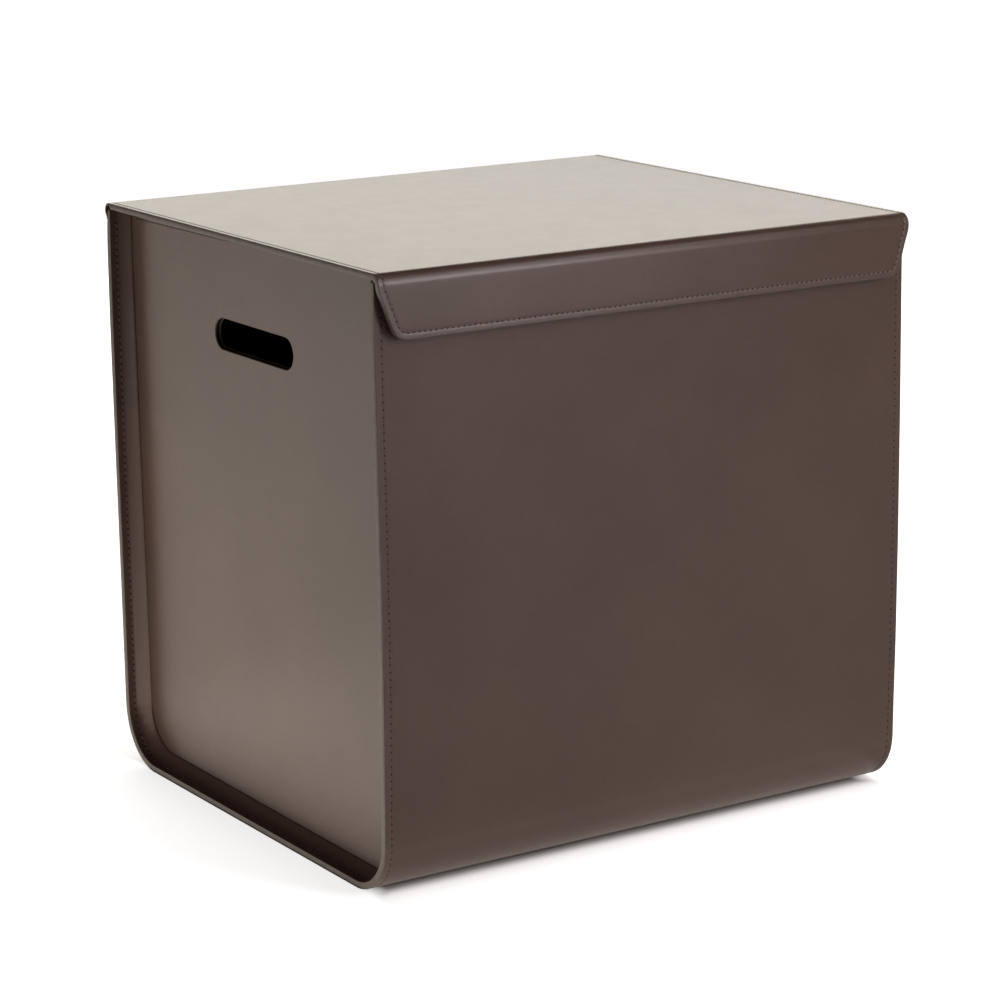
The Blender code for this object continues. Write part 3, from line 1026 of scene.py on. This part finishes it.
def sewn(name, runs, tree, pitch, rise=STITCH_RISE):
    """The stitches and the needle holes' discs of painted shade, of one or more runs, each a list of (point,
    way the leather faces).
    """
    points, edges, facing = [], [], []
    for run in runs:
        start = len(points)
        points += [point for point, _ in run]
        facing += [way for _, way in run]
        edges += [(start + i, start + i + 1) for i in range(len(run) - 1)]
    mesh = bpy.data.meshes.new(name)
    mesh.from_pydata(points, edges, [])
    attribute = mesh.attributes.new("facing", "FLOAT_VECTOR", "POINT")
    attribute.data.foreach_set("vector", np.array([list(way) for way in facing], np.float32).ravel())
    guide = put(name + "_guide", mesh)
    modifier = guide.modifiers.new("seam", "NODES")
    modifier.node_group = tree
    sizes = {
        "Pitch": pitch,
        "Thread radius": THREAD_RADIUS,
        "Thread length": pitch * STITCH_SHARE,
        "Rise": rise,
        "Lean": STITCH_LEAN,
        "Hole radius": HOLE_RADIUS,
    }
    for socket in tree.interface.items_tree:
        if socket.in_out == "INPUT" and socket.name in sizes:
            modifier[socket.identifier] = sizes[socket.name]
    made = evaluated(guide)
    if "facing" in made.attributes:
        made.attributes.remove(made.attributes["facing"])
    bpy.data.objects.remove(guide, do_unlink=True)
    made.name = name
    made.polygons.foreach_set("use_smooth", [True] * len(made.polygons))
    piece = put(name, made)
    return piece


def facing_point(place, x, along, depth, line):
    """A point just on the leather's face, with the way it faces."""
    _, _, inwards = line.spot(along)
    return place(x, along, depth), Vector((0, -inwards[0], -inwards[1]))


# Guide lines of the seams: their longest steps, and how far in from the walls the side panels' seams end
WALL_STEP = 0.0018
LID_STEP = 0.0012
PANEL_SEAM_END = 0.017
PANEL_SEAM_STEPS = 60


def add_seams():
    outer, inner = [], []
    start, end = FRONT_CUT + SEAM_INSET, BACK_LEATHER_END
    count = round((end - start) / WALL_STEP)
    stops = [start + (end - start) * i / count for i in range(count + 1)]
    for side in (-1, 1):
        x = side * (WIDTH / 2 - SEAM_INSET)
        outer.append([facing_point(on_wrap, x, along, SEAM_SINK, WRAP) for along in stops])
        run = [facing_point(on_wrap, x, along, FLANGE_FACE, WRAP) for along in stops]
        inner.append([(point, -way) for point, way in run])
    reach = WIDTH / 2 - 2 * SEAM_INSET
    top = [facing_point(on_wrap, x, start, TOP_SEAM_SINK, WRAP) for x in np.linspace(-reach, reach, 60)]
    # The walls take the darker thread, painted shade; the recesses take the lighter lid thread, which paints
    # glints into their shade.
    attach(sewn("wall_seams", outer + [top], WALL_SEAM_PAINTED_SHADE, WALL_PITCH, rise=LOW_STITCH_RISE), "box")
    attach(sewn("recess_seams", inner, LID_SEAM, WALL_PITCH), "box")

    panel = []
    for side in (-1, 1):
        first, last = FRONT + PANEL_SEAM_END, BACK - PANEL_SEAM_END
        run = []
        for i in range(PANEL_SEAM_STEPS + 1):
            share = i / PANEL_SEAM_STEPS
            z = SIDE_SEAM_FRONT_Z - SIDE_SEAM_FALL * share
            run.append((Vector((side * PANEL_X, first + (last - first) * share, z)), Vector((side, 0, 0))))
        panel.append(run)
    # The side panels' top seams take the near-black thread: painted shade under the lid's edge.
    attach(sewn("side_top_seams", panel, TOP_SEAM_PAINTED_SHADE, LID_PITCH), "box")

    ring = drawn_in(lid_outline(), LID_SEAM_INSET)
    path = [Vector((ring[0].x, 0.0)), *ring[1:-1], Vector((ring[-1].x, 0.0))]
    run = [facing_point(on_lid, x, along, SEAM_SINK, LID) for x, along in stepped(path, LID_STEP)]
    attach(sewn("lid_seam", [run], LID_SEAM, LID_PITCH), "lid")


def carry_over_boards():
    """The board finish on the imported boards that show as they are."""
    for name in ("left_side_board", "right_side_board", "base_board", "lid_board"):
        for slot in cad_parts[name].material_slots:
            slot.material = board


def soft_light(name, centre, aim, size, brightness, colour):
    """A flat lamp with the brightness of its face given, where 1 shows as white."""
    lamp = bpy.data.lights.new(name, "AREA")
    lamp.shape = "RECTANGLE"
    lamp.size, lamp.size_y = size
    lamp.energy = brightness * math.pi * size[0] * size[1]
    lamp.color = colour
    holder = put(name, lamp)
    holder.location = centre
    holder.rotation_euler = (Vector(aim) - Vector(centre)).to_track_quat("-Z", "Y").to_euler()
    holder.visible_camera = False


WHITE = (1, 1, 1)
WARM = (1, 0.93, 0.82)
SOFT_WARM = (1, 0.955, 0.94)
LAMP_AIM = (0.0, 0.0, 0.25)
FRONT_LAMP_AIM = (-0.1, -0.17, 0.38)

# Lamps that stand round the box: place, what they point at, size of the face, brightness, colour
STUDIO_LAMPS = (
    ("low back lamp", (1.1936, 1.8380, 0.4417), LAMP_AIM, (2.8, 0.7), 1.2, WHITE),
    ("back lamp", (1.0946, 1.6855, 1.1448), LAMP_AIM, (2.8, 0.8), 2.9, WARM),
    ("front strip lamp low", (0.68, -1.68, 0.65), FRONT_LAMP_AIM, (0.5, 0.5), 6.0, SOFT_WARM),
    ("front strip lamp", (0.68, -1.68, 1.20), FRONT_LAMP_AIM, (0.5, 0.6), 6.9, SOFT_WARM),
    ("front strip lamp high", (0.93, -1.20, 1.74), FRONT_LAMP_AIM, (0.6, 0.5), 4.2, SOFT_WARM),
    ("narrow front lamp", (0.66, -1.69, 0.85), FRONT_LAMP_AIM, (0.2, 0.9), 6.5, SOFT_WARM),
    ("lamp above", (0.1307, -0.7410, 2.3173), LAMP_AIM, (1.4, 1.2), 0.6, SOFT_WARM),
    ("left lamp", (-2.2, 0.3, 0.30), (-0.2, 0.0, 0.25), (1.5, 0.5), 1.7, WARM),
)

# White cards that lie on the floor and shine up: reach in X, reach in Y, brightness
CARD_HEIGHT = 0.0005
FLOOR_CARDS = (
    ("rim card", (-0.45, -0.2012), (-0.2, 0.3), 0.84),
    ("left card", (-1.5, -0.24), (-0.3, 0.3), 0.68),
    ("back left card", (-1.5, -0.24), (0.3, 1.5), 1.04),
    ("far left card", (-3.0, -1.5), (-1.5, 1.5), 0.4),
    ("far back card", (-3.0, -1.0), (1.5, 3.0), 1.9),
    ("front card", (-0.2, 0.25), (-0.5, -0.2), 0.17),
    ("bottom bend card", (-0.2, 0.2), (-0.235, -0.150), 0.28),
)

# White that the camera sees on the floor, as a share against the distance beyond the box's outline. Held low
# near the box, it paints a contact shadow over the lamps' own shadow there.
SHADE_REACH = (-0.03, 0.15)
END_WHITE_PAINTED_SHADOW = ((-0.015, 0.0), (0.0, 0.79), (0.03, 0.87), (0.08, 0.93), (0.14, 1.0))
FRONT_WHITE_PAINTED_SHADOW = (
    (-0.0250, 0.0), (-0.0216, 0.03), (-0.018, 0.22), (-0.0146, 0.42), (-0.0116, 0.55), (-0.0086, 0.64),
    (0.0, 0.74), (0.03, 0.85), (0.1, 1.0),
)
FLOOR_HALF = 6.0
ROOM_LEVEL = 0.008


def floor_finish(nodes):
    """Pale floor, a little cloudy: white to the camera, with a painted contact shadow where that white is held
    back near the box, over the lamps' own shadow.
    """
    nodes.colours(nodes.noise(0.6, 2.0), [(0.3, (0.80, 0.80, 0.795)), (0.7, (0.82, 0.82, 0.815))])
    nodes.set(Roughness=0.7, Specular_IOR_Level=0.2, Emission_Color=(1, 1, 1, 1))
    parts = nodes.add("ShaderNodeSeparateXYZ", {"Vector": nodes.place})
    low, high = SHADE_REACH
    shares = []
    for axis, middle, reach, table in (
        ("X", 0.0, WIDTH / 2, END_WHITE_PAINTED_SHADOW),
        ("Y", MIDDLE_Y, DEPTH / 2, FRONT_WHITE_PAINTED_SHADOW),
    ):
        away = nodes.number("ABSOLUTE", nodes.number("SUBTRACT", parts.outputs[axis], middle))
        stops = [((beyond - low) / (high - low), (share, share, share)) for beyond, share in table]
        shares.append(nodes.ramp(nodes.spread(away, reach + low, reach + high), stops))
    path = nodes.add("ShaderNodeLightPath")
    # Painted contact shadow: the camera's white is held back near the box by the tables above.
    seen = nodes.number("MULTIPLY", path.outputs["Is Camera Ray"], nodes.number("MAXIMUM", *shares))
    nodes.join(seen, nodes.shader, "Emission Strength")


def add_studio():
    shape = bmesh.new()
    bmesh.ops.create_grid(shape, x_segments=1, y_segments=1, size=FLOOR_HALF)
    floor = new_piece("studio_floor", shape, material_of("pale floor", floor_finish))

    world = bpy.data.worlds.new("studio")
    bpy.context.scene.world = world
    world.use_nodes = True
    world.node_tree.nodes.clear()
    room = Tree(world.node_tree)
    seen = room.add("ShaderNodeLightPath").outputs["Is Camera Ray"]
    dark, white = (
        room.add("ShaderNodeBackground", {"Color": (level, level, level, 1), "Strength": 1.0}).outputs[0]
        for level in (ROOM_LEVEL, 1.0)
    )
    mix = room.add("ShaderNodeMixShader", {0: seen, 1: dark, 2: white})
    room.add("ShaderNodeOutputWorld", {"Surface": mix.outputs[0]})

    for name, place, aim, size, brightness, colour in STUDIO_LAMPS:
        soft_light(name, place, aim, size, brightness, colour)
    for name, x_range, y_range, brightness in FLOOR_CARDS:
        centre = (sum(x_range) / 2, sum(y_range) / 2, CARD_HEIGHT)
        size = (x_range[1] - x_range[0], y_range[1] - y_range[0])
        soft_light(name, centre, (centre[0], centre[1], 1.0), size, brightness, WARM)


# The camera: its place, its turn round the box, rise and roll in degrees, its lens and the width of its film
CAMERA_PLACE = (-1.16624, -1.802743, 0.714278)
CAMERA_TURNS = (-32.86, 13.68, -0.566)
LENS = 118.2
FILM_WIDTH = 36.0


def add_camera():
    camera = bpy.data.cameras.new("camera")
    camera.lens = LENS
    camera.sensor_width = FILM_WIDTH
    turn, rise, roll = (math.radians(angle) for angle in CAMERA_TURNS)
    back = Vector((math.sin(turn) * math.cos(rise), -math.cos(turn) * math.cos(rise), math.sin(rise)))
    right = Vector((math.cos(turn), math.sin(turn), 0))
    up = back.cross(right)
    across = right * math.cos(roll) + up * math.sin(roll)
    upright = up * math.cos(roll) - right * math.sin(roll)
    axes = Matrix((across, upright, back)).transposed().to_4x4()
    holder = put("camera", camera)
    holder.matrix_world = Matrix.Translation(CAMERA_PLACE) @ axes
    bpy.context.scene.camera = holder


add_wrap()
add_wrap_coats()
top_edge_coat()
for side_name, side_sign in (("left_side", -1), ("right_side", 1)):
    add_side(side_name, side_sign)
    add_slot_coat(side_name, side_sign)
add_lid()
add_hinge()
add_base_insert()
add_seams()
carry_over_boards()
add_studio()
add_camera()
bpy.context.scene.view_settings.view_transform = "Standard"
